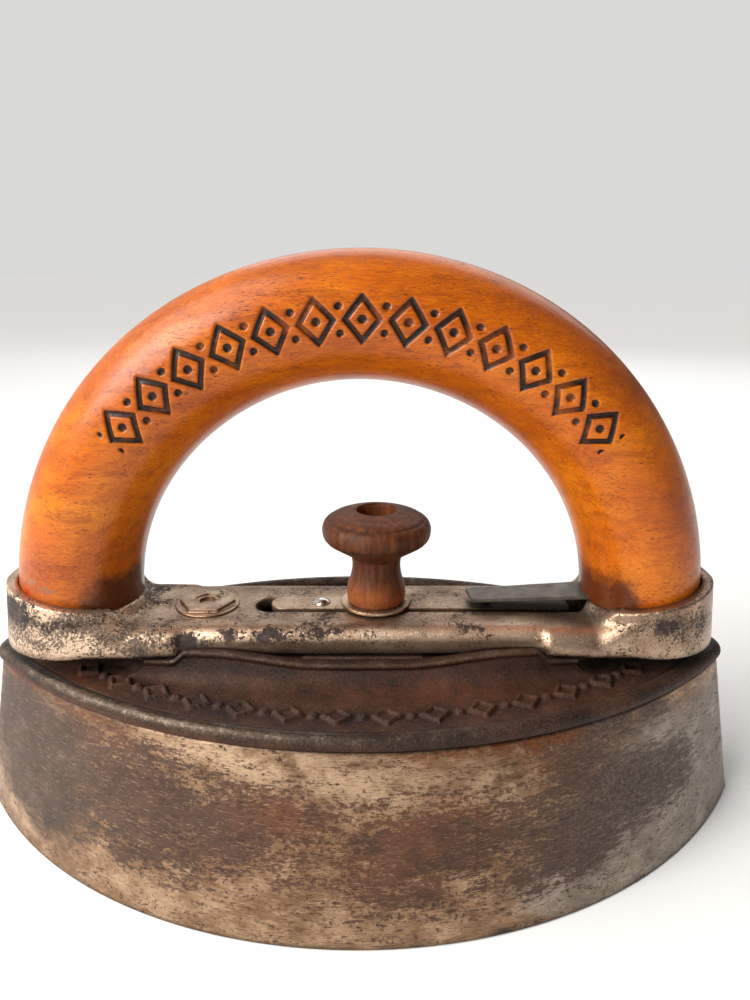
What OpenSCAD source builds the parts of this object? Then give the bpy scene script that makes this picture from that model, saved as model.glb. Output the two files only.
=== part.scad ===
// Two-pointed sad iron with a lift-off cold handle.
// Millimetres. +X runs from the catch end to the spring end, +Y to the back, +Z up.
// The origin is the middle of the ironing face.

/* [Base casting] */
// Length of the ironing face, tip to tip
sole_len = 164; // [150:1:180]
// Width of the ironing face
sole_w = 92; // [84:1:100]
// Radius of the rounded tips of the ironing face
sole_tip_r = 7.5; // [5:0.5:10]
// Height of the casting's side wall
wall_h = 31.6; // [28:0.1:36]
// Length of the casting at the top of its wall
top_len = 152; // [146:1:160]
// Width of the casting at the top of its wall
top_w = 70.6; // [66:0.2:76]
// Radius of the rounded tips at the top of the wall
top_tip_r = 4.6; // [3:0.1:6]
// Thickness of the sole under the filling
sole_t = 15; // [10:0.5:18]
// Thickness of the side wall
wall_t = 8; // [6:0.5:10]

/* [Top cap] */
// Radius of the rolled bead round the cap
bead_r = 1.7; // [1.2:0.1:2.2]
// Height of the cap's field above the seam
field_h = 1.8; // [1.6:0.1:2.4]
// Length of the raised neck that the handle stands on
neck_len = 95; // [90:0.5:96]
// Width of the neck at its upper edge
neck_w = 30.4; // [28:0.2:33]
// Width of the neck at its foot
neck_foot_w = 43; // [38:0.5:48]
// Height of the neck above the seam
neck_h = 6; // [5:0.1:6.2]
// Height that the neck's edge rises to beside the bar's ends
horn_h = 2; // [0:0.1:2.2]

/* [Handle frame] */
// Radius of the round ends, at the frame's lower edge
end_r = 15.3; // [14.6:0.1:15.6]
// Radius of the round ends, at their rim
rim_r = 14.2; // [13.8:0.1:14.6]
// Width of the bar between the two end seats
bar_w = 25.2; // [22:0.2:27]
// Height of the bar's flat top above the ironing face
bar_top = 43; // [42.5:0.1:43.2]
// Thickness of the bar's web
web_t = 2.6; // [2:0.1:3]
// Height of the frame's lower edge above the ironing face
skirt_z = 38; // [37.9:0.1:38.4]
// Half the width of the slot that the latch works in
slot_half = 3.45; // [3.2:0.05:4]

/* [Grip] */
// Radius of the grip's ring, on its centre line
ring_r = 57.8; // [56:0.1:58.2]
// Thickness of the grip
grip_d = 24.3; // [22:0.1:24.5]
// Height of the ring's centre above the ironing face
ring_z = 44.4; // [43:0.1:46]
// Height of the seats that the grip's feet stand on
foot_z = 45.6; // [45:0.1:46]

/* [Latch] */
// Position of the knob along the bar
knob_x = 2.9; // [0:0.1:6]
// Widest diameter of the knob
knob_d = 22.2; // [18:0.2:24]
// Height of the knob above its collar
knob_h = 19.8; // [18:0.2:24]
// Position of the latch's pin along the bar
pin_x = 33; // [31:0.5:34]
// Radius of the latch's pin
pin_r = 1.1; // [1:0.1:1.3]
// Running clearance of the latch on its pin
pin_gap = 0.05; // [0.03:0.01:0.1]
// Position of the hook bolt along the bar
bolt_x = -32.3; // [-33:0.1:-31]

/* [Hidden] */
$fn = 64;
eps = 0.02;                          // overlap that keeps cuts clean
cap_z = wall_h;                      // seam between the casting and the cap
field_z = cap_z + field_h;
neck_z = cap_z + neck_h;
pocket_z = cap_z + 1.6;              // floor of the pocket in the neck
pocket_half = 7.5;                   // half the pocket's width
pocket_l = bolt_x - 3.7;             // ends of the pocket's mouth
pocket_r = pin_x + 3.6;
undercut = 1.6;                      // reach of the pocket under its two end lips
lip_t = 1.8;                         // thickness of those lips
seat_in = 36.2;                      // inner face of the frame's end blocks
neck_arc = 400;                      // radius of the neck's long sides, seen from above
foot_arc = 135;                      // the same at the neck's foot
horn_l = seat_in - 0.5;              // ends of the raised edge beside the bar
pin_z = bar_top - 2.7;               // height of the latch's pin
eye_r = 2.4;                         // eye of the lever round its pin
lever_half = 2.6;                    // half the lever's width
toe_top = neck_z - lip_t - 0.4;      // top of both toes, clear of the lips above them
toe_z = pocket_z + 0.9;              // underside of the lever's toe
toe_l = 5.6;                         // length of the lever's toe
stem_w = 2.9;                        // width of the lever between its eye and its toe
plate_top = bar_top + 0.4;
plate_t = 1.4;
plate_half = slot_half - 0.45;
plate_l = -19;                       // ends of the plate
plate_r = 43;
slot_l = plate_l - 3.2;              // ends of the bar's slot
slot_r = plate_r + 5.2;
rivet_x = -8.4;
rivet_r = 1.1;
rivet_head_r = 2;
collar_r = 7.2;
collar_t = 0.7;
knob_z = plate_top + collar_t;
lever_t = 2;
lever_top = plate_top - plate_t;
knob_nut_w = 6;
knob_nut_t = 2.2;
nut_z = lever_top - lever_t - knob_nut_t;
screw_r = 1.6;                       // shank of the knob's screw
counterbore_r = 4.05;
counterbore_z = knob_z + 13.5;
washer_r = 3.6;
washer_t = 0.9;
screw_head_r = 3;
screw_head_t = 1.9;
driver_w = 1;                        // width of the slots in the screws' heads
cap_screw_x = 20;
cap_screw_r = 1.9;
cap_head_r = 3.55;                   // countersunk head of the cap's screws
post_r = 6;                          // posts that the cap's screws go into
grip_screw_r = 2.1;
grip_screw_head = 4.2;
seat_gap = 0.25;                     // between the grip's feet and their seats
bolt_r = 2.6;
bolt_tip_r = 1.7;                    // socket in the bolt's end
nut_flange_r = 6.6;
boss_r = 5.5;                        // boss under the bar round the bolt
shoulder_r = 4;                      // rounding of the bar's upper edges
skirt_t = 3.4;                       // thickness of the bar's skirts
rim_z = 50.6;                        // top of the rim at the frame's two ends
rim_in = 46.3;                       // where the bar starts to rise beside the feet
ramp_r = 13.2;                       // radius of the step under each foot, at the bar's top
cheek_rise = 6.5;                    // how far an end block climbs towards the middle of its seat
cheek_r = shoulder_r + 1;            // rounding of the end blocks' upper edges
block_w = bar_w + 2;                 // width of an end block where it leaves the bar
spring_t = 0.8;
spring_tip = 2.9;                    // half the spring's width at its free end
spring_half = 3.8;                   // and where it is clamped
spring_l = 22;                       // free end of the flat spring
spring_bend = ring_r - 13;           // where the spring comes level under the foot
spring_r = ring_r + 4;
spring_z = foot_z + 0.05;
pip_r = 1.2;                         // pressed pip under the spring's free end
slack = 0.3;                         // clearance of a screw in the spring's hole

// radius of the long side arcs of an outline with half-length a, half-width b and tip radius t
function arc_r(a, b, t) = (pow(a - t, 2) + b * b - t * t) / (2 * (b - t));
// half-length of such an outline, from the radius of its side arcs
function arc_a(r, b, t) = t + sqrt(2 * r * (b - t) - b * b + t * t);
// points round the outline: two long arcs and two rounded tips
function outline(a, b, t, n = 20, m = 6) =
    let (r = arc_r(a, b, t), half = atan2(a - t, r - b),
         front = [for (i = [0:n]) let (w = -half + 2 * half * i / n) [r * sin(w), r - b - r * cos(w)]],
         right = [for (i = [1:m - 1]) let (w = -90 + half + (180 - 2 * half) * i / m)
                  [a - t + t * cos(w), t * sin(w)]])
    concat(front, right, [for (p = front) -p], [for (p = right) -p]);
function ring(a, b, t, z) = [for (p = outline(a, b, t)) [p.x, p.y, z]];
// the same outline drawn in by d, at height z
function inset(a, b, t, d, z) =
    let (r = arc_r(a, b, t), s = max(t - d, 0.8)) ring(arc_a(r - d, b - d, s), b - d, s, z);

// skins a list of rings that have the same number of points
module loft(rings) {
    n = len(rings[0]);
    k = len(rings);
    sides = [for (j = [0:k - 2], i = [0:n - 1]) each
             let (a = j * n + i, b = j * n + (i + 1) % n)
             [[a, a + n, b], [b, a + n, b + n]]];
    polyhedron(points = [for (r = rings) each r],
               faces = concat([[for (i = [0:n - 1]) i]], sides, [[for (i = [n - 1:-1:0]) (k - 1) * n + i]]),
               convexity = 6);
}

// ---- base ----

module side_wall(d, z0) {
    f = z0 / wall_h;
    loft([ring(sole_len / 2 * (1 - f) + top_len / 2 * f - d, sole_w / 2 * (1 - f) + top_w / 2 * f - d,
               sole_tip_r * (1 - f) + top_tip_r * f, z0),
          ring(top_len / 2 - d, top_w / 2 - d, top_tip_r, wall_h + (d > 0 ? 1 : 0))]);
}

module posts(r, z0, z1) {
    for (s = [-1, 1]) translate([s * cap_screw_x, 0, z0]) cylinder(r = r, h = z1 - z0);
}

module sole_body() {
    color([0.62, 0.50, 0.40]) difference() {
        union() {
            difference() {
                side_wall(0, 0);
                side_wall(wall_t, sole_t);
            }
            posts(post_r, sole_t - 1, wall_h);
        }
        posts(cap_screw_r, wall_h - 14, wall_h + 1);
    }
}

module plaster_fill() {
    color([0.86, 0.83, 0.76]) difference() {
        intersection() {
            side_wall(wall_t, sole_t);
            translate([-sole_len / 2, -sole_w / 2, 0]) cube([sole_len, sole_w, wall_h - 0.1]);
        }
        posts(post_r, 0, wall_h + 2);
    }
}

module neck_outline(w, half, radius = neck_arc) {
    intersection() {
        translate([0, radius - w / 2]) circle(radius, $fn = 720);
        translate([0, w / 2 - radius]) circle(radius, $fn = 720);
        offset(4) square([2 * half - 8, w], center = true);
    }
}

module neck() {
    hull() {
        translate([0, 0, field_z - 0.3]) linear_extrude(0.3)
            neck_outline(neck_foot_w, neck_len / 2 + 9, foot_arc);
        translate([0, 0, neck_z - 1.4]) linear_extrude(0.2) neck_outline(neck_w + 2, neck_len / 2 + 0.1);
    }
    hull() {
        translate([0, 0, neck_z - 1.4]) linear_extrude(0.9) neck_outline(neck_w, neck_len / 2);
        translate([0, 0, neck_z - 0.2]) linear_extrude(0.2) neck_outline(neck_w - 1.6, neck_len / 2 - 0.8);
    }
}

// thin edge that rises beside the two ends of the bar
module horns() {
    intersection() {
        linear_extrude(60) difference() {
            neck_outline(neck_w - 1, neck_len / 2);
            square([2 * neck_len, bar_w + 0.7], center = true);
        }
        rotate([90, 0, 0]) translate([0, 0, -neck_w]) linear_extrude(2 * neck_w) mirror_ends()
            polygon([[8, neck_z - 1], [horn_l, neck_z - 1], [horn_l, neck_z + 0.4 * horn_h],
                     [horn_l - 2.2, neck_z + 0.8 * horn_h], [horn_l - 4.7, neck_z + horn_h],
                     [27, neck_z + horn_h - 0.2], [16, neck_z + 0.5 * horn_h],
                     [8, neck_z]]);
    }
}

// slot with round ends between two x positions
module slot(x0, x1, half, z0, z1) {
    translate([x0 + half, 0, z0]) cylinder(r = half, h = z1 - z0);
    translate([x1 - half, 0, z0]) cylinder(r = half, h = z1 - z0);
    translate([x0 + half, -half, z0]) cube([x1 - x0 - 2 * half, 2 * half, z1 - z0]);
}

module top_cap() {
    a = top_len / 2;
    b = top_w / 2;
    t = top_tip_r;
    bead_z = cap_z + bead_r - 0.3;
    roll = [for (w = [-20:20:200]) [bead_r * (1 - cos(w)) - 0.7, bead_z + bead_r * sin(w)]];
    color([0.29, 0.23, 0.20]) difference() {
        union() {
            loft(concat([inset(a, b, t, 0, cap_z)],
                        [for (p = roll) inset(a, b, t, p.x, max(p.y, cap_z + 0.1))],
                        [inset(a, b, t, 5.4, field_z - 0.3), inset(a, b, t, 14, field_z)]));
            neck();
            horns();
        }
        slot(pocket_l, pocket_r, pocket_half, pocket_z, neck_z + 1);
        translate([pocket_l - undercut, -4, pocket_z])
            cube([pocket_r - pocket_l + 2 * undercut, 8, neck_z - lip_t - pocket_z]);
        posts(cap_screw_r, cap_z - 1, pocket_z + 1);
        for (s = [-1, 1]) translate([s * cap_screw_x, 0, cap_z]) cylinder(r1 = cap_screw_r, r2 = cap_head_r + 0.05, h = 1.61);
    }
}

module cap_screw(s) {
    color([0.34, 0.30, 0.27]) translate([s * cap_screw_x, 0, 0]) difference() {
        union() {
            translate([0, 0, wall_h - 13]) cylinder(r = cap_screw_r, h = 13.1);
            translate([0, 0, cap_z]) cylinder(r1 = cap_screw_r, r2 = cap_head_r, h = 1.58);
        }
        translate([-4, -driver_w / 2, pocket_z - 0.8]) cube([8, driver_w, 2]);
    }
}

// ---- handle ----

module mirror_ends() {
    for (s = [0, 1]) mirror([s, 0, 0]) children();
}

// side profile of one end block, from the bar up to the sloping rim round the grip's foot
module seat_profile() {
    x1 = ring_r + end_r;
    polygon([[seat_in, skirt_z], [x1, skirt_z], [x1, rim_z - 1], [x1 - 1.6, rim_z], [x1 - 3.6, rim_z - 0.3],
             [ring_r, foot_z + 2.5], [rim_in + 3.2, foot_z + 0.9], [rim_in, bar_top], [seat_in, bar_top]]);
}

// thin slice across an end block, with rounded shoulders
module block_slice(x, half, top, r) {
    translate([x, 0, 0]) rotate([90, 0, 90]) linear_extrude(0.05)
        translate([r - half, skirt_z - r]) offset(r) square([2 * (half - r), top - skirt_z]);
}

module end_block() {
    h = rim_z - skirt_z;
    side_r = (end_r + rim_r) / 2 - 0.15;
    intersection() {
        rotate([90, 0, 0]) translate([0, 0, -2 * end_r]) linear_extrude(4 * end_r) seat_profile();
        union() {
            translate([ring_r, 0, skirt_z]) cylinder(r1 = end_r, r2 = rim_r, h = h);
            hull() {
                block_slice(seat_in, block_w / 2, bar_top, shoulder_r);
                block_slice(rim_in, side_r, bar_top, cheek_r);
            }
            hull() {
                block_slice(rim_in, side_r, bar_top, cheek_r);
                block_slice(ring_r, side_r, bar_top + cheek_rise, cheek_r / 2);
            }
        }
    }
    translate([ring_r, 0, bar_top - 1]) cylinder(r = ramp_r, h = 1 + eps);
    translate([ring_r, 0, bar_top]) cylinder(r1 = ramp_r, r2 = grip_d / 2 - 0.05, h = foot_z - bar_top);
}

// cross-section of the bar: a web with rounded shoulders and two skirts
module bar_section() {
    r = shoulder_r;
    w = bar_w / 2;
    difference() {
        intersection() {
            hull() for (s = [-1, 1], z = [skirt_z - r, bar_top - r]) translate([s * (w - r), z]) circle(r);
            translate([-w, skirt_z]) square([bar_w, bar_top - skirt_z]);
        }
        translate([skirt_t - w, skirt_z - 1]) square([bar_w - 2 * skirt_t, bar_top - web_t - skirt_z + 1]);
    }
}

module handle_frame() {
    color([0.68, 0.61, 0.52]) difference() {
        union() {
            rotate([90, 0, 90]) translate([0, 0, -seat_in - 1]) linear_extrude(2 * seat_in + 2) bar_section();
            mirror_ends() end_block();
            for (s = [-1, 1]) translate([pin_x - 3.5, s * (slot_half + 2.2) - 2.2, skirt_z + 0.5])
                cube([7, 4.4, bar_top - skirt_z - 1]);
            translate([bolt_x, 0, skirt_z + 0.5]) cylinder(r = boss_r, h = bar_top - skirt_z - 1);
        }
        slot(slot_l, slot_r, slot_half, skirt_z - 1, bar_top + 9);
        mirror_ends() {
            translate([ring_r, 0, foot_z]) cylinder(r = grip_d / 2 + seat_gap, h = 9);
            translate([ring_r, 0, skirt_z - 1]) cylinder(r = grip_screw_r, h = 12);
            translate([ring_r, 0, skirt_z - 1]) cylinder(r = grip_screw_head + 0.2, h = 4);
        }
        translate([bolt_x, 0, skirt_z - 1]) cylinder(r = bolt_r, h = 8);
        translate([pin_x, 0, pin_z]) rotate([90, 0, 0]) translate([0, 0, -7]) cylinder(r = pin_r, h = 14);
    }
}

module wood_grip() {
    color([0.78, 0.45, 0.15]) difference() {
        translate([0, 0, ring_z]) rotate([90, 0, 0])
            rotate_extrude($fn = 128) translate([ring_r, 0]) circle(grip_d / 2);
        translate([-80, -20, foot_z - 90]) cube([160, 40, 90]);
        mirror_ends() translate([ring_r, 0, foot_z - 1]) cylinder(r = grip_screw_r, h = 19);
        translate([ring_r - grip_d / 2 - 1, -4, foot_z - 1]) cube([grip_d / 2 + 5.2, 8, 1.9]);
    }
}

module grip_screw(s) {
    color([0.45, 0.42, 0.38]) translate([s * ring_r, 0, 0]) difference() {
        union() {
            translate([0, 0, skirt_z + 0.4]) cylinder(r = grip_screw_head, h = 2.6);
            translate([0, 0, skirt_z + 2]) cylinder(r = grip_screw_r, h = 22);
        }
        translate([-5, -driver_w / 2, skirt_z]) cube([10, driver_w, 1.2]);
    }
}

module hook_bolt() {
    z0 = pocket_z + 0.4;
    color([0.50, 0.46, 0.42]) translate([bolt_x, 0, 0]) difference() {
        union() {
            translate([0, 0, z0]) cylinder(r = bolt_r, h = bar_top + 0.9 - z0);
            translate([-3, -2, z0]) cube([3, 4, toe_top - z0]);
        }
        translate([0, 0, bar_top + 0.35]) cylinder(r = bolt_tip_r, h = 3);
    }
}

module hook_nut() {
    color([0.70, 0.64, 0.56]) translate([bolt_x, 0, bar_top]) difference() {
        union() {
            cylinder(r = nut_flange_r, h = 0.4);
            cylinder(r = nut_flange_r - 0.8, h = 1.2, $fn = 6);
        }
        translate([0, 0, -1]) cylinder(r = bolt_r, h = 4);
    }
}

// flat spring: clamped by the right foot and its screw, its free end resting on the latch
module leaf_spring() {
    tip_z = spring_z - 1.1;
    color([0.36, 0.37, 0.38]) difference() {
        union() {
            intersection() {
                rotate([90, 0, 0]) translate([0, 0, -10]) linear_extrude(20)
                    polygon([[spring_l, tip_z], [spring_bend, spring_z], [spring_r, spring_z],
                             [spring_r, spring_z + spring_t], [spring_bend, spring_z + spring_t],
                             [spring_l, tip_z + spring_t]]);
                linear_extrude(60) polygon([[spring_l, spring_tip], [spring_l + 0.6, -spring_tip],
                                            [spring_bend + 1, -spring_half], [spring_r, -spring_half],
                                            [spring_r, spring_half], [spring_bend + 1, spring_half]]);
            }
            translate([spring_l + 4, 0, plate_top + 0.1]) cylinder(r = pip_r, h = tip_z + 0.4 - plate_top);
        }
        translate([ring_r, 0, foot_z - 1]) cylinder(r = grip_screw_r + slack, h = 4);
    }
}

module lever_pin() {
    color([0.52, 0.49, 0.45]) translate([pin_x, 0, pin_z]) rotate([90, 0, 0]) translate([0, 0, -6.8])
        cylinder(r = pin_r, h = 13.6);
}

// ---- latch ----

module latch_lever() {
    w = 2 * lever_half;
    l = plate_l + 2;
    color([0.42, 0.38, 0.35]) difference() {
        union() {
            translate([l, -lever_half, lever_top - lever_t]) cube([pin_x - l, w, lever_t]);
            translate([pin_x, 0, pin_z]) rotate([90, 0, 0]) translate([0, 0, -lever_half])
                cylinder(r = eye_r, h = w);
            translate([pin_x - stem_w, -lever_half, toe_z]) cube([stem_w, w, pin_z - toe_z]);
            translate([pin_x - stem_w, -lever_half, toe_z]) cube([toe_l, w, toe_top - toe_z]);
        }
        translate([pin_x, 0, pin_z]) rotate([90, 0, 0]) translate([0, 0, -10]) cylinder(r = pin_r + pin_gap, h = 20);
        translate([-30, -10, lever_top]) cube([80, 20, 5]);
        translate([knob_x, 0, 0]) cylinder(r = screw_r, h = 60);
        translate([rivet_x, 0, 0]) cylinder(r = rivet_r, h = 60);
    }
}

module knob_plate() {
    color([0.72, 0.67, 0.60]) difference() {
        union() {
            translate([plate_l + plate_half, 0, lever_top]) {
                cylinder(r = plate_half, h = plate_t);
                translate([0, -plate_half, 0]) cube([plate_r - plate_l - plate_half, 2 * plate_half, plate_t]);
            }
            translate([knob_x, 0, plate_top - eps]) cylinder(r = collar_r, h = collar_t + eps);
        }
        translate([knob_x, 0, 0]) cylinder(r = screw_r, h = 60);
        translate([rivet_x, 0, 0]) cylinder(r = rivet_r, h = 60);
    }
}

module plate_rivet() {
    z0 = lever_top - lever_t;
    color([0.80, 0.79, 0.77]) translate([rivet_x, 0, 0]) {
        translate([0, 0, z0 - 0.6]) cylinder(r = rivet_head_r, h = 0.6);
        translate([0, 0, z0 - 0.1]) cylinder(r = rivet_r, h = lever_t + plate_t + 0.2);
        intersection() {
            translate([0, 0, plate_top - 1.3]) sphere(r = rivet_head_r + 0.3);
            translate([0, 0, plate_top]) cylinder(r = 3, h = 2);
        }
    }
}

// half-profile of the knob: foot, waist and mushroom head
function knob_profile() =
    let (w = knob_d / 2, h = knob_h)
    concat([[screw_r, 0], [5.75, 0]],
           [for (i = [0:8]) let (v = i / 8) [5.5 + 0.55 * cos(320 * v - 60), 1 + 7.3 * v]],
           [[5.3, 9.9], [5.9, 10.7], [7, 11.4], [w - 1.5, 13.1]],
           [for (v = [-60:15:60]) [w - 1.9 + 1.9 * cos(v), h - 4.5 + (v < 0 ? 2 : 2.4) * sin(v)]],
           [[w - 3.1, h - 1], [w - 5.1, h - 0.4], [counterbore_r + 0.5, h], [counterbore_r, h - 0.4],
            [counterbore_r, counterbore_z - knob_z], [screw_r, counterbore_z - knob_z]]);

module release_knob() {
    color([0.42, 0.26, 0.17]) translate([knob_x, 0, knob_z]) rotate_extrude() polygon(knob_profile());
}

module knob_washer() {
    color([0.55, 0.52, 0.48]) translate([knob_x, 0, counterbore_z]) difference() {
        cylinder(r = washer_r, h = washer_t);
        translate([0, 0, -1]) cylinder(r = screw_r, h = 3);
    }
}

module knob_screw() {
    head_z = counterbore_z + washer_t;
    color([0.30, 0.24, 0.20]) translate([knob_x, 0, 0]) difference() {
        union() {
            translate([0, 0, nut_z - 0.2]) cylinder(r = screw_r, h = head_z - nut_z + 0.3);
            translate([0, 0, head_z]) cylinder(r = screw_head_r, h = screw_head_t);
        }
        translate([-4, -driver_w / 2, head_z + 0.9]) cube([8, driver_w, 2]);
    }
}

module knob_nut() {
    color([0.48, 0.45, 0.41]) translate([knob_x, 0, nut_z]) difference() {
        translate([-knob_nut_w / 2, -knob_nut_w / 2, 0]) cube([knob_nut_w, knob_nut_w, knob_nut_t]);
        translate([0, 0, -1]) cylinder(r = screw_r, h = 5);
    }
}

sole_body();
plaster_fill();
top_cap();
cap_screw(-1);  // cap_screw_left
cap_screw(1);  // cap_screw_right
handle_frame();
wood_grip();
grip_screw(-1);  // grip_screw_left
grip_screw(1);  // grip_screw_right
hook_bolt();
hook_nut();
leaf_spring();
lever_pin();
latch_lever();
knob_plate();
plate_rivet();
release_knob();
knob_washer();
knob_screw();
knob_nut();
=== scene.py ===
"""Looks for a two-pointed sad iron with a lift-off wooden handle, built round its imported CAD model."""
import math
import bpy
import numpy as np
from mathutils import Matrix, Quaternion, Vector


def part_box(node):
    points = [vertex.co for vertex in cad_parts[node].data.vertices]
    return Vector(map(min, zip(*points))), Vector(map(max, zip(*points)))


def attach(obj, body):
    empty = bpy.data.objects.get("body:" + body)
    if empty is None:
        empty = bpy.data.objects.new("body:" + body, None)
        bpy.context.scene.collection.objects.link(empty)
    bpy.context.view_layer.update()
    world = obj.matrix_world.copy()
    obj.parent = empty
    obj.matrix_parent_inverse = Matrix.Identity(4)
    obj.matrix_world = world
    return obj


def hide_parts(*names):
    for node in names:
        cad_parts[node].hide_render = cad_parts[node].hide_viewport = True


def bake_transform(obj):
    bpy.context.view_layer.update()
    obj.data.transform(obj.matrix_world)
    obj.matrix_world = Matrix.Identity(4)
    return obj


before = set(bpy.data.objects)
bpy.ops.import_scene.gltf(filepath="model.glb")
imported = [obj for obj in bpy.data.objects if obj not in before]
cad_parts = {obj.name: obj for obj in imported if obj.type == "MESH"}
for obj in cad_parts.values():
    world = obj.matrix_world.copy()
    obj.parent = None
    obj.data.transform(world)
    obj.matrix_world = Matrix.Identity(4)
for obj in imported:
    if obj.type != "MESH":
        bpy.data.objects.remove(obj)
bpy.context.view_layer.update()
MM = 0.001


# ---------- sizes, in millimetres, from the frame ----------

def box_mm(node):
    lo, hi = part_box(node)
    return np.array(lo) / MM, np.array(hi) / MM


SOLE_HI = box_mm("sole_body")[1]
CAP_HI = box_mm("top_cap")[1]
GRIP_LO, GRIP_HI = box_mm("wood_grip")
KNOB_LO, KNOB_HI = box_mm("release_knob")
SPRING_LO, SPRING_HI = box_mm("leaf_spring")
SEAM_Z = SOLE_HI[2]                       # joint between the casting and its cap
FIELD_Z = SEAM_Z + 1.8                    # floor of the cap between its bead and the neck
NECK_Z = SEAM_Z + 6.0                     # top of the neck under the bar
BEAD_R = 1.7
BEAD_OUT = 0.7                            # how far the bead stands proud of the wall
BEAD_Z = SEAM_Z + BEAD_R - 0.3            # height of the middle of the bead
SOLE_TIP = 7.5                            # radius of the iron's points at the ironing face
CAP_TIP = 4.6                             # and at the seam
LIP_END, LIP_SIDE = 47.3, 15.0            # half the length and width of the neck's upper edge
SEAT_END, SEAT_SIDE = 38.2, 12.95         # and of the flat that the bar rests on
QUARTER = 340                             # points on a quarter of each outline
RING_Z = 44.4                             # height of the middle of the grip's ring
RING_R = (GRIP_HI[0] - GRIP_LO[0] - (GRIP_HI[1] - GRIP_LO[1])) / 2
TUBE_R = (GRIP_HI[1] - GRIP_LO[1]) / 2


# ---------- mesh helpers ----------

def new_object(name, data):
    obj = bpy.data.objects.new(name, data)
    bpy.context.scene.collection.objects.link(obj)
    return obj


def shade_smooth(mesh):
    mesh.polygons.foreach_set("use_smooth", [True] * len(mesh.polygons))


def adopt(obj, body, replaced):
    if body:
        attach(obj, body)
    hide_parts(*replaced)


def make(name, verts, faces, body, replaced, mat, smooth=True):
    mesh = bpy.data.meshes.new(name)
    mesh.from_pydata([tuple(v) for v in np.asarray(verts) * MM], [], faces)
    mesh.validate()
    obj = new_object(name, mesh)
    mesh.materials.append(mat)
    if smooth:
        shade_smooth(mesh)
    adopt(obj, body, replaced)
    return obj


def skin(rings):
    """Quads between rings of equal length, with a fan in the first and the last ring."""
    n = len(rings[0])
    last = (len(rings) - 1) * n
    faces = []
    for a in range(0, last, n):
        faces += [(a + i, a + (i + 1) % n, a + n + (i + 1) % n, a + n + i) for i in range(n)]
    faces += [((i + 1) % n, i, last + n) for i in range(n)]
    faces += [(last + i, last + (i + 1) % n, last + n + 1) for i in range(n)]
    middles = [rings[0].mean(axis=0), rings[-1].mean(axis=0)]
    return np.concatenate([*rings, middles]), faces


def lathe(profile, centre, sides):
    """Rings round an upright axis through centre, one for each (radius, height)."""
    w = np.linspace(0, 2 * math.pi, sides, endpoint=False)
    return [np.stack([centre[0] + r * np.cos(w), centre[1] + r * np.sin(w), np.full(sides, z)], axis=1)
            for r, z in profile]


def apply_modifiers(obj):
    depsgraph = bpy.context.evaluated_depsgraph_get()
    mesh = bpy.data.meshes.new_from_object(obj.evaluated_get(depsgraph))
    obj.modifiers.clear()
    obj.data = mesh


def points_mm(obj):
    flat = np.empty(len(obj.data.vertices) * 3)
    obj.data.vertices.foreach_get("co", flat)
    return flat.reshape(-1, 3) / MM


def add_smoothing(obj, rounds, group=""):
    modifier = obj.modifiers.new("smooth", "SMOOTH")
    modifier.factor = 0.5
    modifier.iterations = rounds
    modifier.vertex_group = group


def soften(node, name, body, mat, voxel, rounds, melt=None):
    """A copy of a CAD solid with its edges and inside corners rounded, as a worn casting has them.

    melt, a function of the points in millimetres, says where corners are filled more deeply.
    """
    obj = new_object(name, bpy.data.objects[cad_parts[node].name].data.copy())
    remesh = obj.modifiers.new("remesh", "REMESH")
    remesh.mode = "VOXEL"
    remesh.voxel_size = voxel * MM
    apply_modifiers(obj)
    if melt:
        group = obj.vertex_groups.new(name="melt")
        weights = np.round(melt(points_mm(obj)), 1)
        for value in np.unique(weights[weights > 0]):
            group.add(np.flatnonzero(weights == value).tolist(), float(value), "REPLACE")
        add_smoothing(obj, 60, "melt")
    add_smoothing(obj, rounds)
    apply_modifiers(obj)
    obj.data.name = name
    obj.data.materials.clear()
    obj.data.materials.append(mat)
    shade_smooth(obj.data)
    adopt(obj, body, [node])
    return obj


def set_attribute(obj, name, values):
    layer = obj.data.attributes.new(name, "FLOAT", "POINT")
    layer.data.foreach_set("value", np.asarray(values, dtype=np.float32))


def smooth_step(x, low, high):
    """0 below low, 1 above high, smooth between."""
    t = np.clip((x - low) / (high - low), 0, 1)
    return t * t * (3 - 2 * t)


def blobs(x, z, spots):
    """Sum of soft spots; each is (x, z, radius along x, radius along z, amount)."""
    total = np.zeros(len(x))
    for cx, cz, rx, rz, amount in spots:
        total += amount * np.exp(-((x - cx) / rx) ** 2 - ((z - cz) / rz) ** 2)
    return total


def marks(x, z, near, front, back):
    """The front's spots where near is 1 and the back's where it is 0, blended between."""
    return near * blobs(x, z, front) + (1 - near) * blobs(x, z, back)


# ---------- outlines ----------

def resample(points, count):
    step = np.linalg.norm(np.diff(points, axis=0), axis=1)
    s = np.concatenate([[0], np.cumsum(step)])
    at = np.linspace(0, s[-1], count + 1)
    return np.stack([np.interp(at, s, points[:, k]) for k in (0, 1)], axis=1)


def whole(quarter_points):
    """Mirrors a quarter outline, from (0, -b) to (a, 0), into a whole ring."""
    q = quarter_points
    up = q[::-1] * [1, -1]
    right = np.concatenate([q[:-1], up[:-1]])
    return np.concatenate([right, -right])


def lens_quarter(a, b, t):
    """Quarter of an outline with long side arcs, half-length a, half-width b and tip radius t."""
    r = ((a - t) ** 2 + b * b - t * t) / (2 * (b - t))
    half = math.atan2(a - t, r - b)
    w = np.linspace(0, half, 400)
    side = np.stack([r * np.sin(w), r - b - r * np.cos(w)], axis=1)
    w = np.linspace(half - math.pi / 2, 0, 60)[1:]
    tip = np.stack([a - t + t * np.cos(w), t * np.sin(w)], axis=1)
    return np.concatenate([side, tip])


def lens(a, b, t):
    return whole(resample(lens_quarter(a, b, t), QUARTER))


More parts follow.
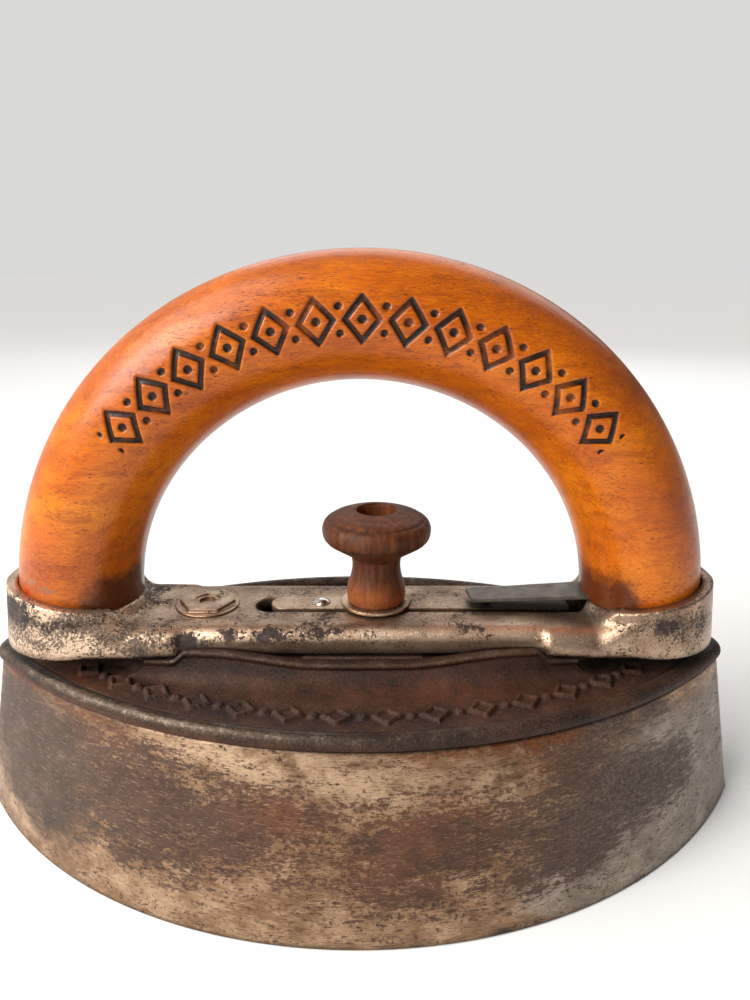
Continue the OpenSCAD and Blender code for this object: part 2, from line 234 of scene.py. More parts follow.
def inset_lens(a, b, t, d, smallest_tip=0.7):
    """The same outline drawn in by d; its side arcs keep their centres."""
    r = ((a - t) ** 2 + b * b - t * t) / (2 * (b - t)) - d
    s = max(t - d, smallest_tip)
    b = b - d
    return lens(s + math.sqrt(2 * r * (b - s) - b * b + s * s), b, s)


def clipped_lens(b, half, corner, radius):
    """Outline of a wide lens that is cut off at x = half each way, with rounded corners."""
    w = np.linspace(0, math.asin(half / radius), 200)
    side = np.stack([radius * np.sin(w), radius - b - radius * np.cos(w)], axis=1)
    points = resample(np.concatenate([side, [[half, 0]]]), 600)
    centre = np.array([half - corner, side[-1, 1] + corner + 0.4])
    beyond = (points[:, 0] > centre[0]) & (points[:, 1] < centre[1])
    away = points - centre
    reach = np.linalg.norm(away, axis=1)
    points[beyond] = (centre + away / reach[:, None] * np.minimum(reach, corner)[:, None])[beyond]
    return whole(resample(points, QUARTER))


def lift(outline, z):
    return np.column_stack([outline, np.full(len(outline), z)])


def polyline_distance(points, line):
    """Distance from each point to a closed line of many short steps, and the number of the nearest step."""
    best = np.full(len(points), 1e9)
    which = np.zeros(len(points), int)
    for start in range(0, len(points), 4000):
        part = points[start:start + 4000]
        gap = np.linalg.norm(part[:, None, :] - line[None, :, :], axis=2)
        best[start:start + 4000] = gap.min(axis=1)
        which[start:start + 4000] = gap.argmin(axis=1)
    return best, which


def length_from_middle(line):
    """Length along each side of a closed outline, measured from where it crosses x = 0."""
    reach = np.concatenate([[0], np.cumsum(np.linalg.norm(np.diff(line, axis=0), axis=1))])
    total = reach[-1] + np.linalg.norm(line[0] - line[-1])
    out = np.zeros(len(line))
    for side in (-1, 1):
        there = np.sign(line[:, 1] + 1e-9) == side
        middle = np.flatnonzero(there)[np.abs(line[there, 0]).argmin()]
        out[there] = np.abs((reach[there] - reach[middle] + total / 2) % total - total / 2)
    return out * np.sign(line[:, 0])


def curve_points(points, count):
    """A smooth curve through a few profile points (Catmull-Rom)."""
    p = np.array([points[0], *points, points[-1]], float)
    out = []
    spans = len(points) - 1
    for k in range(spans):
        a, b, c, d = p[k:k + 4]
        for t in np.linspace(0, 1, max(count // spans, 3), endpoint=(k == spans - 1)):
            out.append(0.5 * ((2 * b) + (c - a) * t + (2 * a - 5 * b + 4 * c - d) * t * t
                              + (3 * b - a - 3 * c + d) * t ** 3))
    return np.array(out)


# ---------- shader helpers ----------

def linear(colour):
    """Linear colour from the usual 0 to 255 values."""
    return tuple((c / 255 / 12.92) if c <= 10 else ((c / 255 + 0.055) / 1.055) ** 2.4 for c in colour)


class Shader:
    """A Principled material, with short calls for the nodes that colour it.

    Sizes are in millimetres, and plain colours have the usual 0 to 255 values.
    """

    def __init__(self, name):
        self.mat = bpy.data.materials.new(name)
        self.mat.use_nodes = True
        self.nodes = self.mat.node_tree.nodes
        self.links = self.mat.node_tree.links
        self.bsdf = self.nodes["Principled BSDF"]
        self.coord = self.nodes.new("ShaderNodeTexCoord").outputs["Object"]

    def put(self, socket, value):
        if isinstance(value, bpy.types.NodeSocket):
            self.links.new(value, socket)
        elif isinstance(value, tuple):
            socket.default_value = (*linear(value), 1)
        else:
            socket.default_value = value

    def texture(self, kind, size, stretch, offset, values):
        """A texture whose features are about size millimetres across, times stretch along each axis."""
        place = self.nodes.new("ShaderNodeMapping")
        self.links.new(self.coord, place.inputs["Vector"])
        place.inputs["Scale"].default_value = tuple(1 / (s * size * MM) for s in stretch)
        place.inputs["Location"].default_value = offset
        node = self.nodes.new(kind)
        self.links.new(place.outputs["Vector"], node.inputs["Vector"])
        for key, value in {"Scale": 1, **values}.items():
            node.inputs[key].default_value = value
        return node

    def noise(self, size, detail=4, rough=0.5, stretch=(1, 1, 1), offset=(0, 0, 0), distortion=0.0):
        values = {"Detail": detail, "Roughness": rough, "Distortion": distortion}
        return self.texture("ShaderNodeTexNoise", size, stretch, offset, values).outputs["Fac"]

    def cells(self, size, offset):
        """Distance to the nearest of many scattered points."""
        return self.texture("ShaderNodeTexVoronoi", size, (1, 1, 1), offset, {}).outputs["Distance"]

    def attribute(self, name):
        node = self.nodes.new("ShaderNodeAttribute")
        node.attribute_name = name
        return node.outputs["Fac"]

    def math(self, op, a, b, clamp=False):
        node = self.nodes.new("ShaderNodeMath")
        node.operation = op
        node.use_clamp = clamp
        self.put(node.inputs[0], a)
        self.put(node.inputs[1], b)
        return node.outputs[0]

    def add(self, a, b):
        return self.math("ADD", a, b)

    def times(self, a, b):
        return self.math("MULTIPLY", a, b)

    def most(self, a, b):
        return self.math("MAXIMUM", a, b)

    def away(self, start, value, amount):
        """start less amount times value."""
        return self.math("SUBTRACT", start, self.times(value, amount))

    def inverse(self, value):
        return self.math("SUBTRACT", 1.0, value)

    def weigh(self, a, part, b, other):
        return self.add(self.times(a, part), self.times(b, other))

    def swing(self, noise, amount):
        """A noise about 0, amount times as high."""
        return self.times(self.math("SUBTRACT", noise, 0.5), amount)

    def stir(self, value, noise, amount):
        return self.add(value, self.swing(noise, amount))

    def step(self, value, low, high, to=(0.0, 1.0)):
        """0 below low, 1 above high, smooth between."""
        node = self.nodes.new("ShaderNodeMapRange")
        node.interpolation_type = "SMOOTHSTEP"
        self.put(node.inputs["Value"], value)
        for key, limit in zip(("From Min", "From Max", "To Min", "To Max"), (low, high, *to)):
            node.inputs[key].default_value = limit
        return node.outputs["Result"]

    def ramp(self, value, stops):
        node = self.nodes.new("ShaderNodeValToRGB")
        self.put(node.inputs["Fac"], value)
        points = node.color_ramp.elements
        while len(points) < len(stops):
            points.new(0.5)
        for point, (at, colour) in zip(points, stops):
            point.position = at
            point.color = (*linear(colour), 1)
        return node.outputs["Color"]

    def mix(self, factor, a, b):
        node = self.nodes.new("ShaderNodeMix")
        node.data_type = "RGBA"
        node.blend_type = "MIX"
        self.put(node.inputs["Factor"], factor)
        self.put(node.inputs[6], a)
        self.put(node.inputs[7], b)
        return node.outputs[2]

    def paint(self, mask, amount, under, over):
        return self.mix(self.times(mask, amount), under, over)

    def bump(self, height, distance, strength, under=None):
        """Bump of a height from 0 to 1 that stands for distance millimetres."""
        node = self.nodes.new("ShaderNodeBump")
        self.put(node.inputs["Height"], height)
        node.inputs["Distance"].default_value = distance * MM
        node.inputs["Strength"].default_value = strength
        if under is not None:
            self.links.new(under, node.inputs["Normal"])
        return node.outputs["Normal"]

    def finish(self, **sockets):
        names = {"colour": "Base Color", "metal": "Metallic", "rough": "Roughness", "normal": "Normal",
                 "coat": "Coat Weight", "coat_rough": "Coat Roughness", "specular": "Specular IOR Level"}
        for key, value in sockets.items():
            self.put(self.bsdf.inputs[names[key]], value)
        return self.mat


# ---------- materials ----------

def wall_iron():
    """Ground iron with thin worn plating, brushed along the wall and browned by rust in patches."""
    s = Shader("wall_iron")
    broad = s.noise(13, 5, 0.6)
    cloud = s.noise(4.5, 5, 0.65, stretch=(1.6, 1.6, 1), offset=(5, 2, 8))
    drag = s.noise(2.6, 6, 0.75, stretch=(2.6, 2.6, 0.7), offset=(4, 6, 1))
    streak = s.noise(1.0, 6, 0.75, stretch=(4, 4, 0.6))
    speck = s.noise(0.70, 6, 0.80, stretch=(1.4, 1.4, 0.9), offset=(3, 1, 7))
    fine = s.noise(0.25, 4, 0.65, stretch=(5, 5, 0.7), offset=(9, 2, 4))
    wander = s.swing(streak, 1.2)

    # bare metal, pale or grey by its attributes; the pale spots high under the seam are painted highlights
    bare = s.ramp(s.weigh(cloud, 0.5, streak, 0.5), [
        (0.34, (96, 68, 46)), (0.49, (140, 107, 79)), (0.62, (190, 158, 127))])
    bare = s.mix(s.times(s.attribute("pale"), s.step(cloud, 0.30, 0.56)), bare, (200, 168, 136))
    grey = s.ramp(s.weigh(cloud, 0.6, speck, 0.4), [
        (0.32, (104, 92, 82)), (0.50, (144, 130, 117)), (0.68, (188, 175, 160))])
    bare = s.mix(s.step(s.add(s.attribute("grey"), wander), 0.20, 0.75), bare, grey)

    # rust over it in patches, redder or colder by its attributes
    rust = s.ramp(s.weigh(s.noise(3.4, 6, 0.7, stretch=(1.5, 1.5, 1), offset=(2, 8, 1)), 0.6, speck, 0.4), [
        (0.34, (42, 25, 18)), (0.48, (64, 39, 28)), (0.60, (84, 53, 36)), (0.75, (108, 74, 54))])
    rust = s.mix(s.times(s.attribute("red"), s.step(cloud, 0.34, 0.58)), rust, (104, 56, 28))
    rust = s.mix(s.attribute("cold"), rust, s.ramp(speck, [
        (0.36, (44, 32, 25)), (0.50, (74, 57, 46)), (0.62, (128, 108, 93))]))
    amount = s.add(s.times(s.attribute("patch"), 0.8), s.swing(broad, 0.8))
    for noise, reach in ((drag, 2.2), (streak, 2.2), (speck, 3.0)):
        amount = s.stir(amount, noise, reach)
    cover = s.step(amount, 0.20, 0.56)
    colour = s.paint(cover, 0.94, bare, rust)

    # darker areas, strongest at the left end of the front
    darkened = s.ramp(cloud, [(0.30, (56, 42, 32)), (0.55, (74, 57, 45)), (0.75, (98, 79, 65))])
    haze = s.stir(s.attribute("darkened"), drag, 1.6)
    haze = s.step(s.add(haze, s.times(wander, 0.8)), 0.10, 0.95)
    colour = s.mix(haze, colour, darkened)
    cover = s.most(cover, haze)

    # dots, lines, dashes and scratches, denser in some areas than in others
    area = s.step(s.noise(9, 4, 0.65, stretch=(1.3, 1.3, 0.8), offset=(1, 7, 3)), 0.34, 0.58, (0.30, 1.0))
    area = s.times(area, s.away(1.0, haze, 0.7))
    dots = s.times(s.step(speck, 0.57, 0.64), area)
    colour = s.paint(dots, 0.85, colour, (70, 39, 25))
    lines = s.times(s.step(fine, 0.52, 0.62), area)
    colour = s.paint(lines, 0.66, colour, (62, 37, 25))
    dash = s.noise(0.55, 3, 0.6, stretch=(4.5, 4.5, 0.55), offset=(2, 4, 9))
    dash = s.times(s.step(dash, 0.62, 0.66), area)
    colour = s.paint(dash, 0.85, colour, (54, 31, 21))
    hair = s.step(s.noise(0.22, 3, 0.6, stretch=(10, 10, 0.6), offset=(1, 3, 2)), 0.59, 0.68)
    nick = s.noise(0.34, 3, 0.6, stretch=(2.0, 2.0, 1.3), offset=(6, 6, 6), distortion=1.5)
    colour = s.paint(s.most(hair, s.step(nick, 0.655, 0.71)), 0.50, colour, (180, 146, 116))

    # orange rust that has run down from the seam
    orange = s.times(s.attribute("streak"), s.step(s.noise(2.4, 5, 0.7, stretch=(2, 2, 1)), 0.36, 0.58))
    colour = s.mix(orange, colour, s.ramp(speck, [(0.38, (70, 34, 12)), (0.62, (140, 76, 26))]))
    colour = s.mix(s.attribute("edge"), colour, (50, 38, 32))

    rough = s.add(0.42, s.times(cover, 0.14))
    metal = s.away(0.62, cover, 0.40)
    normal = s.bump(fine, 0.05, 0.9)
    normal = s.bump(s.inverse(s.most(dots, dash)), 0.07, 0.9, normal)
    return s.finish(colour=colour, metal=metal, rough=rough, normal=normal)


def cap_iron():
    """Dark oxidised casting: brown scale in the field, worn grey on the bead and along the neck's lip."""
    s = Shader("cap_iron")
    wear_and_shade = s.attribute("wear_and_shade")
    blotch = s.noise(7, 6, 0.65)
    grain = s.noise(0.50, 5, 0.75)
    sand = s.noise(0.22, 4, 0.70, offset=(4, 4, 4))
    scale = s.ramp(s.weigh(blotch, 0.55, grain, 0.45), [
        (0.36, (24, 15, 11)), (0.47, (50, 33, 23)), (0.57, (76, 50, 35)), (0.70, (104, 74, 55))])
    scale = s.mix(s.step(sand, 0.55, 0.66, (0.0, 0.6)), scale, (128, 98, 76))
    scale = s.mix(s.step(sand, 0.45, 0.36, (0.0, 0.6)), scale, (20, 12, 9))
    worn = s.ramp(s.weigh(s.noise(3.0, 4, 0.6), 0.5, grain, 0.5), [
        (0.34, (44, 35, 29)), (0.50, (74, 62, 52)), (0.64, (120, 106, 94))])
    show = s.step(s.stir(wear_and_shade, grain, 0.7), 0.25, 0.75)
    colour = s.mix(show, scale, worn)
    glint = s.times(s.step(sand, 0.60, 0.68), show)
    colour = s.paint(glint, 0.6, colour, (176, 166, 154))
    rust = s.times(s.attribute("rust"), s.step(s.noise(2.4, 5, 0.65, offset=(7, 7, 7)), 0.32, 0.58))
    colour = s.mix(rust, colour, (112, 58, 36))
    # painted shade in the pocket, under the lip and round the raised row, and the dark seam
    colour = s.mix(s.attribute("shade_and_seam"), colour, (20, 14, 12))
    rough = s.away(0.60, show, 0.28)
    metal = s.add(0.15, s.times(show, 0.60))
    plain = s.away(1.0, wear_and_shade, 0.75)
    normal = s.bump(s.times(sand, plain), 0.08, 0.8)
    normal = s.bump(s.times(grain, plain), 0.20, 0.8, normal)
    return s.finish(colour=colour, metal=metal, rough=rough, normal=normal, specular=0.3)


def worn_nickel(name, pits=1.0, warm=1.0):
    """Nickel plate on a sand casting: warm silver with a fine grain, flaked to dark iron in specks and patches."""
    s = Shader(name)
    tone = s.noise(6, 5, 0.6)
    sand = s.noise(0.42, 5, 0.75)
    dust = s.noise(0.19, 3, 0.65, offset=(6, 1, 2))
    crumb = s.noise(0.50, 6, 0.80, offset=(3, 8, 5))
    area = s.noise(9, 4, 0.6, offset=(12.5, 3.1, 8.2))
    speck = s.noise(0.95, 6, 0.75, offset=(2, 5, 9))
    flaked = s.attribute("flake")
    painted_light = s.attribute("painted_light")

    # the plate itself
    silver = s.ramp(s.weigh(tone, 0.5, sand, 0.5), [
        (0.36, (102, 80, 64)), (0.49, (170, 142, 118)), (0.62, (230, 204, 176))])
    pinkish = s.step(s.noise(12, 3, 0.5, offset=(6, 0, 3)), 0.42, 0.60)
    silver = s.paint(pinkish, 0.35 * warm, silver, (190, 148, 120))
    silver = s.mix(s.step(sand, 0.53, 0.66, (0.0, 0.50)), silver, (96, 76, 61))
    silver = s.mix(s.step(dust, 0.56, 0.66, (0.0, 0.55)), silver, (60, 46, 38))
    # painted light: a warm highlight over the silver, and white painted glints, where the attribute for painted light
    # is set
    silver = s.mix(s.times(painted_light, s.step(tone, 0.34, 0.56, (0.5, 1.0))), silver, (244, 210, 178))
    silver = s.mix(s.times(painted_light, s.step(dust, 0.46, 0.38)), silver, (255, 240, 220))
    silver = s.mix(s.attribute("shade"), silver, (62, 52, 42))

    # where it is gone: large flakes, scattered crumbs and pinholes
    loss = s.add(s.weigh(area, 0.9, speck, 1.1), s.times(flaked, 0.34))
    flake = s.step(loss, 1.205 / pits, 1.24 / pits)
    scatter = s.add(s.weigh(area, 0.7, crumb, 1.2), s.times(flaked, 0.12))
    scatter = s.step(s.add(scatter, s.times(s.attribute("rough"), 0.14)), 1.10 / pits, 1.15 / pits)
    pinhole = s.times(s.step(s.cells(1.0, (1, 2, 3)), 0.24, 0.14), s.step(area, 0.38, 0.54))
    dark = s.most(s.most(flake, s.times(scatter, 0.85)), pinhole)
    iron = s.ramp(s.noise(1.8, 5, 0.65), [(0.30, (34, 25, 21)), (0.55, (62, 47, 41)), (0.75, (98, 79, 71))])
    colour = s.mix(dark, silver, iron)

    rough = s.add(0.29, s.times(dark, 0.32))
    metal = s.away(0.92, dark, 0.62)
    normal = s.bump(sand, 0.11, 0.8)
    normal = s.bump(dust, 0.03, 0.6, normal)
    normal = s.bump(s.inverse(dark), 0.12, 1.0, normal)
    return s.finish(colour=colour, metal=metal, rough=rough, normal=normal)


def grip_wood():
    """Amber varnished hardwood, turned from a board: the grain runs along X."""
    s = Shader("grip_wood")
    cloud = s.noise(12, 4, 0.6, stretch=(2.4, 1, 1))
    figure = s.noise(2.2, 5, 0.65, stretch=(8, 1, 1), distortion=0.4)
    fibre = s.noise(0.26, 4, 0.70, stretch=(10, 1, 1))
    pore = s.noise(0.26, 4, 0.70, stretch=(5.5, 1, 1), offset=(3, 3, 3))
    low = s.attribute("grime_and_shade")
    burn = s.attribute("burn")
    colour = s.ramp(cloud, [(0.32, (162, 72, 2)), (0.50, (196, 96, 4)), (0.68, (218, 120, 10))])
    colour = s.mix(s.step(figure, 0.46, 0.66, (0.0, 0.50)), colour, (144, 58, 3))
    colour = s.mix(s.step(fibre, 0.50, 0.68, (0.0, 0.45)), colour, (128, 50, 3))
    colour = s.mix(s.step(fibre, 0.46, 0.36, (0.0, 0.28)), colour, (234, 140, 24))

    # pores and short dark ticks
    density = s.add(s.step(s.noise(8, 3, 0.5), 0.40, 0.58, (0.40, 1.0)), s.times(low, 0.8))
    fleck = s.math("MULTIPLY", s.step(pore, 0.575, 0.64), density, clamp=True)
    colour = s.paint(fleck, 0.80, colour, (84, 36, 8))
    tick = s.step(s.noise(0.42, 3, 0.6, stretch=(4.0, 1, 1), offset=(9, 5, 2)), 0.655, 0.70)
    colour = s.paint(tick, 0.80, colour, (52, 22, 8))

    # smoke stains at the feet, then the burnt bottom of the pressed marks
    smoke = s.stir(low, s.noise(4.5, 5, 0.7, stretch=(1.6, 1, 1.2)), 1.3)
    colour = s.paint(s.step(smoke, 0.30, 0.85), 0.85, colour, (58, 22, 8))
    faint = s.step(s.noise(7, 3, 0.6, offset=(2, 9, 4)), 0.34, 0.50, (0.62, 1.0))
    char = s.ramp(s.noise(1.3, 5, 0.7), [(0.34, (22, 12, 7)), (0.54, (46, 24, 11)), (0.74, (96, 46, 16))])
    colour = s.mix(s.times(s.step(burn, 0.10, 0.60), faint), colour, char)

    # scuffs, the chip at the left and a drop of red paint
    scuff = s.step(s.noise(0.60, 5, 0.75, stretch=(3.5, 1, 1), offset=(8, 1, 5)), 0.655, 0.70)
    colour = s.paint(scuff, 0.65, colour, (80, 34, 10))
    chip = s.stir(s.attribute("chip"), s.noise(1.1, 5, 0.7, stretch=(1.8, 1, 1), offset=(3, 0, 3)), 2.2)
    colour = s.paint(s.step(chip, 0.45, 0.65), 0.75, colour, (142, 96, 66))
    colour = s.paint(s.attribute("spot"), 0.85, colour, (176, 42, 14))

    rough = s.add(0.24, s.times(s.noise(6, 4, 0.6), 0.14))
    rough = s.add(rough, s.times(burn, 0.25))
    normal = s.bump(fibre, 0.012, 0.6)
    normal = s.bump(s.inverse(s.most(fleck, scuff)), 0.05, 0.8, normal)
    return s.finish(colour=colour, metal=0.0, rough=rough, normal=normal,
                    coat=0.22, coat_rough=0.20, specular=0.25)


def knob_wood():
    """Dark turned hardwood with little varnish left; the grain runs up the knob."""
    s = Shader("knob_wood")
    figure = s.noise(1.3, 5, 0.6, stretch=(1, 1, 6))
    pore = s.noise(0.24, 4, 0.65, stretch=(1, 1, 8))
    blotch = s.noise(5, 4, 0.6)
    colour = s.ramp(figure, [(0.30, (60, 29, 14)), (0.50, (92, 50, 28)), (0.72, (118, 70, 40))])
    colour = s.mix(s.attribute("warm"), colour, s.ramp(figure, [(0.3, (118, 58, 24)), (0.7, (164, 92, 48))]))
    colour = s.mix(s.step(blotch, 0.46, 0.64, (0.0, 0.45)), colour, (78, 48, 35))
    colour = s.mix(s.step(pore, 0.56, 0.68, (0.0, 0.75)), colour, (50, 27, 17))
    # painted shade down the bore, in the grooves and at the foot of the knob; on the grip, its stains
    colour = s.mix(s.attribute("grime_and_shade"), colour, (50, 36, 29))
    normal = s.bump(pore, 0.05, 0.7)
    return s.finish(colour=colour, metal=0.0, rough=0.50, normal=normal, specular=0.2)


def steel(name, dark, light, rough=0.42, metal=0.8, rust=0.35):
    """Plain steel with a cloudy tone, fine scratches along X and a little rust."""
    s = Shader(name)
    colour = s.ramp(s.noise(3.0, 5, 0.65), [(0.3, dark), (0.7, light)])
    line = s.noise(0.22, 3, 0.6, stretch=(14, 1, 1))
    colour = s.mix(s.step(line, 0.54, 0.70, (0.0, 0.45)), colour, light)
    dust = s.noise(0.30, 4, 0.7, offset=(7, 7, 1))
    colour = s.mix(s.step(dust, 0.56, 0.68, (0.0, 0.40)), colour, dark)
    spot = s.step(s.noise(1.6, 5, 0.7, offset=(4, 9, 2)), 0.54, 0.66, (0.0, rust))
    colour = s.mix(spot, colour, (92, 58, 42))
    return s.finish(colour=colour, metal=metal, rough=rough, normal=s.bump(line, 0.02, 0.6))


def plaster():
    """Off-white filling, rough and matt."""
    s = Shader("plaster")
    colour = s.ramp(s.noise(5, 6, 0.6), [(0.3, (196, 188, 172)), (0.7, (232, 226, 212))])
    return s.finish(colour=colour, metal=0.0, rough=0.9, normal=s.bump(s.noise(0.6, 5, 0.7), 0.2, 0.7))


WALL = wall_iron()
CAP = cap_iron()
NICKEL = worn_nickel("worn_nickel")
PLATE_NICKEL = worn_nickel("plate_nickel", pits=0.96, warm=0.4)
WOOD = grip_wood()
KNOB_WOOD = knob_wood()
PLAIN_STEEL = steel("plain_steel", (96, 86, 76), (150, 138, 124))
DARK_STEEL = steel("dark_steel", (48, 40, 35), (90, 78, 68), rough=0.5, rust=0.5)
SPRING_STEEL = steel("spring_steel", (78, 73, 67), (126, 120, 111), rough=0.44, metal=0.7, rust=0.25)
BRIGHT = steel("bright_rivet", (188, 184, 176), (236, 234, 228), rough=0.2, metal=1.0, rust=0.1)
PLASTER = plaster()


# ---------- base ----------

# The wall's marks, front and then back: stains, and painted highlights among the pale spots. Each spot has its place
# along x, its height, its reach along x, its reach in height, and its amount.
WALL_MARKS = {
    "patch": ([(-52, 24, 9, 10, 0.9), (-36, 20, 12, 9, 1.0), (-21, 17, 9, 7, 0.85), (-42, 11, 12, 5, 0.6),
               (-12, 22, 9, 4, 0.6), (9, 16, 13, 4, 0.6), (20, 21, 12, 5, 0.45), (4, 11, 18, 4, 0.45),
               (16, 7, 18, 3, 0.30), (46, 18, 12, 8, 1.1), (38, 27, 8, 5, 0.8), (60, 17, 9, 6, 0.85),
               (54, 29, 8, 3, 0.5), (34, 12, 10, 6, 0.5), (42, 11, 9, 5, 0.6), (3, 20, 14, 5, 0.35),
               (14, 15, 13, 5, 0.5), (44, 31, 14, 2, 0.7), (58, 25, 7, 3, -0.4), (66, 4, 14, 4, -0.3)],
              [(44, 20, 20, 10, 0.9), (-16, 14, 22, 8, 0.7), (-56, 20, 14, 9, 0.8), (16, 26, 12, 4, 0.4),
               (-70, 6, 10, 4, 0.4)]),
    "darkened": ([(-70, 22, 14, 16, 1.15), (-61, 14, 11, 13, 0.8), (-78, 2, 7, 5, -0.7), (-56, 2, 14, 3, -0.5)],
              [(66, 18, 14, 16, 1.2), (-30, 24, 18, 6, 0.5)]),
    "grey": ([(57, 24, 9, 6, 0.9), (64, 6, 22, 12, 1.2), (76, 16, 9, 18, 0.9), (40, 5, 14, 5, 0.6),
              (36, 16, 12, 14, 0.35), (-76, 4, 6, 4, 0.4)],
             [(-64, 10, 18, 12, 0.9), (6, 5, 30, 4, 0.5)]),
    # pale: the spots high under the seam are painted highlights, the low ones pale metal
    "pale": ([(-16, 29, 13, 4, 1.0), (3, 26, 11, 5, 1.0), (27, 25, 8, 4, 1.0), (-33, 30, 8, 2, 0.6),
              (-70, 4, 6, 3, 0.7), (-40, 4, 14, 3, 0.5), (10, 3, 24, 3, 0.25)],
             [(-4, 27, 20, 5, 0.9), (30, 6, 14, 4, 0.6)]),
    "red": ([(-12, 22, 10, 5, 0.9), (14, 22, 14, 6, 0.9), (-48, 30, 9, 3, 0.8), (0, 12, 16, 6, 0.6)],
            [(-14, 16, 20, 8, 0.8)]),
    "cold": ([(48, 17, 18, 11, 1.0), (60, 17, 12, 8, 0.6), (60, 28, 14, 5, 0.9), (-58, 14, 12, 14, 0.7),
              (40, 30, 10, 3, 0.5)],
             [(44, 20, 18, 10, 0.8)]),
    "streak": ([(21, 31.4, 12, 1.9, 1.0), (34, 30.5, 6, 1.8, 0.9), (33, 27, 5, 4, 0.5),
                (-54, 31.5, 14, 1.2, 0.7), (-74, 31.5, 8, 1.4, 0.8), (9, 30, 6, 2.2, 0.5)],
               [(-24, 31.2, 20, 2.0, 0.9), (52, 31.4, 12, 1.6, 0.7)]),
}
WALL_PITS = [(24.6, 0.4, 1.6, 0.8, 1.0), (76.5, 12.5, 0.9, 0.9, 0.9)]


def sole_casting():
    a0, b0 = SOLE_HI[0], SOLE_HI[1]
    a1, b1 = CAP_HI[0] - BEAD_OUT, CAP_HI[1] - BEAD_OUT
    lower_edge = ((0.9, 0.0), (0.45, 0.0), (0.13, 0.13), (0.03, 0.4))
    rings = [lift(lens(a0 - d, b0 - d, SOLE_TIP), z) for d, z in lower_edge]
    for z in np.linspace(0.8, SEAM_Z, 48):
        f = z / SEAM_Z
        tip = SOLE_TIP + (CAP_TIP - SOLE_TIP) * f
        rings.append(lift(lens(a0 + (a1 - a0) * f, b0 + (b1 - b0) * f, tip), z))
    verts, faces = skin(rings)
    obj = make("sole_casting", verts, faces, "base", ["sole_body"], WALL)
    x, y, z = verts.T
    near = smooth_step(-y, -10, 10)
    for name, spots in WALL_MARKS.items():
        set_attribute(obj, name, np.clip(marks(x, z, near, *spots), -0.6, 1.2))
    pit = 0.9 * blobs(x, z, WALL_PITS) * near
    rim = np.maximum(smooth_step(-z, -1.0, -0.15), smooth_step(z, SEAM_Z - 0.35, SEAM_Z))
    set_attribute(obj, "edge", np.clip(0.75 * rim + pit, 0, 1))


def relief(s, v, pitch=9.4, half_length=3.5, half_height=3.0, pellet_r=1.3):
    """Raised outlined lozenges with a pellet between each pair; s runs along the field and v across it, in mm."""
    u = (s / pitch - np.floor(s / pitch) - 0.5) * pitch
    reach = 1 - np.maximum(np.abs(u) / half_length + np.abs(v) / half_height, 0)
    stroke = smooth_step(reach, 0.0, 0.22) * (1 - 0.75 * smooth_step(reach, 0.34, 0.56))
    side = np.abs(np.abs(u) - pitch / 2)
    pellet = 1 - np.hypot(side, v) / pellet_r
    return np.maximum(stroke, smooth_step(pellet, 0.0, 0.6))


def lip_height(x):
    """Height of the neck's edge, which climbs beside the two ends of the bar."""
    reach = np.abs(x)
    return NECK_Z - 0.3 + 2.2 * smooth_step(reach, 8, 30) * smooth_step(-reach, -37.4, -34)


def lip_outline(out):
    return clipped_lens(LIP_SIDE + out, LIP_END + out, 5.0, 400.0)


FIELD_RINGS = 49
LOZENGE_ROW = 5.1                         # from the bead's inner side to the middle of the raised row
LOZENGE_END = 57                          # half the length of the part of the field that holds the row


def cap_rings(edge, inner, foot):
    """The cap's surface, from its lower face over the bead, field, neck and lip down into the pocket.

    edge gives the outline of the cap at a distance in from its side. Returns also the field's first ring.
    """
    rings = [lift(edge(d), SEAM_Z + 0.02) for d in (6.0, 1.2, 0.25)]
    for w in np.radians(np.linspace(-38, 205, 22)):
        rings.append(lift(edge(BEAD_R * (1 - math.cos(w)) - BEAD_OUT), BEAD_Z + BEAD_R * math.sin(w)))
    field = len(rings)
    for f in np.linspace(0, 1, FIELD_RINGS + 1)[:-1]:
        hollow = 0.55 * (1 - smooth_step(f, 0, 0.12))
        rings.append(lift(inner * (1 - f) + foot * f, FIELD_Z - hollow - 0.15 * (1 - f)))

    # the neck's flare: how far out from the lip to the foot, and how much of the rise
    for f, rise in [(1.0, 0.0), (0.86, 0.02), (0.72, 0.06), (0.58, 0.13), (0.46, 0.23), (0.35, 0.36), (0.25, 0.51),
                    (0.17, 0.66), (0.11, 0.79), (0.06, 0.89), (0.03, 0.95)]:
        outline = lip_outline(0.0) * (1 - f) + foot * f
        under = lip_height(outline[:, 0]) - 1.45 - FIELD_Z
        rings.append(np.column_stack([outline, FIELD_Z + under * rise]))

    # the rolled lip: how far out and how far below its top
    for out, down in [(0.10, 1.35), (0.34, 1.12), (0.50, 0.82), (0.52, 0.52), (0.38, 0.26), (0.12, 0.08),
                      (-0.22, 0.0), (-0.6, 0.02)]:
        outline = lip_outline(out)
        rings.append(np.column_stack([outline, lip_height(outline[:, 0]) - down]))
    seat = clipped_lens(SEAT_SIDE, SEAT_END, 3.0, 9000.0)
    for f, down in ((0.6, 0.02), (0.97, 0.08), (1.0, 0.25)):
        outline = rings[-1][:, :2] * (1 - f) + seat * f
        rings.append(np.column_stack([outline, lip_height(outline[:, 0]) - down]))
    rings.append(lift(seat, NECK_Z - 0.35))

    # the pocket, a slot with round ends
    mouth_half, mouth_r = 36.3, 7.5
    w = np.linspace(-math.pi / 2, 0, 80)
    end = np.stack([mouth_half - mouth_r + mouth_r * np.cos(w), mouth_r * np.sin(w)], axis=1)
    mouth = whole(resample(np.concatenate([[[0, -mouth_r]], end]), QUARTER)) + [0.3, 0]
    for f in (0.5, 0.9):
        rings.append(lift(seat * (1 - f) + mouth * f, NECK_Z - 0.3))
    for z in (NECK_Z - 0.45, NECK_Z - 1.0, NECK_Z - 2.5, FIELD_Z, FIELD_Z - 0.3):
        rings.append(lift(mouth, z))
    rings.append(lift(mouth * 0.97, FIELD_Z - 0.3))
    return rings, field


